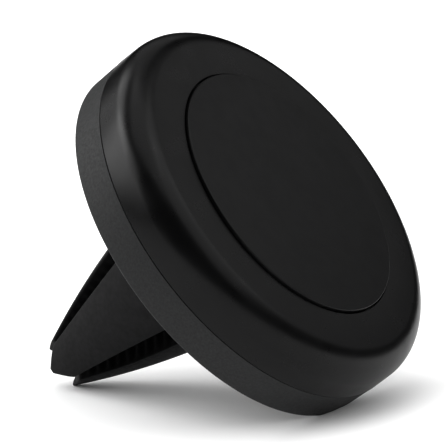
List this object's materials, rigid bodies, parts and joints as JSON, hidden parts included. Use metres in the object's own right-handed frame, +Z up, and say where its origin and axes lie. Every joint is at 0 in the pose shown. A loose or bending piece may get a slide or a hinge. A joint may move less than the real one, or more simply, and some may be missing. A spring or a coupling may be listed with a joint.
{
  "type": "car phone mount",
  "caption": "Round magnetic phone holder head with an inlaid grip pad, on a slotted, rubber-covered tapering clip that pushes onto the blades of a car air vent.",
  "frame": {"origin": "centre of the object's box, on the floor that it rests on", "axes": "+X along the head's width, +Y from the phone side towards the clip's tips, +Z up; the head's front normal is (0, -0.801, 0.598)"},
  "size_m": [0.042, 0.0396, 0.0375],
  "materials": {
    "silicone_pad": "fine matte silicone",
    "satin_shell": "satin soft-touch black",
    "matte_housing": "matte, fine spark-eroded grain",
    "clip_rubber": "matte moulded rubber",
    "inner_plastic": "plain moulded",
    "adhesive": "acrylic foam film",
    "magnet_nickel": "bright nickel plate",
    "steel": "zinc-plated steel"
  },
  "bodies": {
    "head": {"front_pad": "silicone_pad", "pad_adhesive": "adhesive", "front_shell": "satin_shell", "magnet_carrier": "inner_plastic", "keeper_plate": "steel", "rear_housing": "matte_housing", "clip_base": "matte_housing", "magnet_1": "magnet_nickel", "magnet_2": "magnet_nickel", "magnet_3": "magnet_nickel", "magnet_4": "magnet_nickel", "magnet_5": "magnet_nickel", "magnet_6": "magnet_nickel", "clip_screw_1": "steel", "clip_screw_2": "steel", "clip_screw_3": "steel", "clip_screw_4": "steel"},
    "right_arm": {"arm_core_right": "inner_plastic", "arm_sleeve_right": "clip_rubber"},
    "top_arm": {"arm_core_top": "inner_plastic", "arm_sleeve_top": "clip_rubber"},
    "left_arm": {"arm_core_left": "inner_plastic", "arm_sleeve_left": "clip_rubber"},
    "bottom_arm": {"arm_core_bottom": "inner_plastic", "arm_sleeve_bottom": "clip_rubber"}
  },
  "joints": [
    {"name": "right_arm_flex", "type": "hinge", "parent": "head", "child": "right_arm", "pos_m": [0.0054, 0.0023, 0.01387], "axis": [0, -0.5983, -0.8013], "range_deg": [-1, 4], "stiffness_Nm_per_rad": 3},
    {"name": "top_arm_flex", "type": "hinge", "parent": "head", "child": "top_arm", "pos_m": [0, 0.00553, 0.01819], "axis": [1, 0, 0], "range_deg": [-1, 4], "stiffness_Nm_per_rad": 3},
    {"name": "left_arm_flex", "type": "hinge", "parent": "head", "child": "left_arm", "pos_m": [-0.0054, 0.0023, 0.01387], "axis": [0, 0.5983, 0.8013], "range_deg": [-1, 4], "stiffness_Nm_per_rad": 3},
    {"name": "bottom_arm_flex", "type": "hinge", "parent": "head", "child": "bottom_arm", "pos_m": [0, -0.00093, 0.00954], "axis": [-1, 0, 0], "range_deg": [-1, 4], "stiffness_Nm_per_rad": 3}
  ]
}
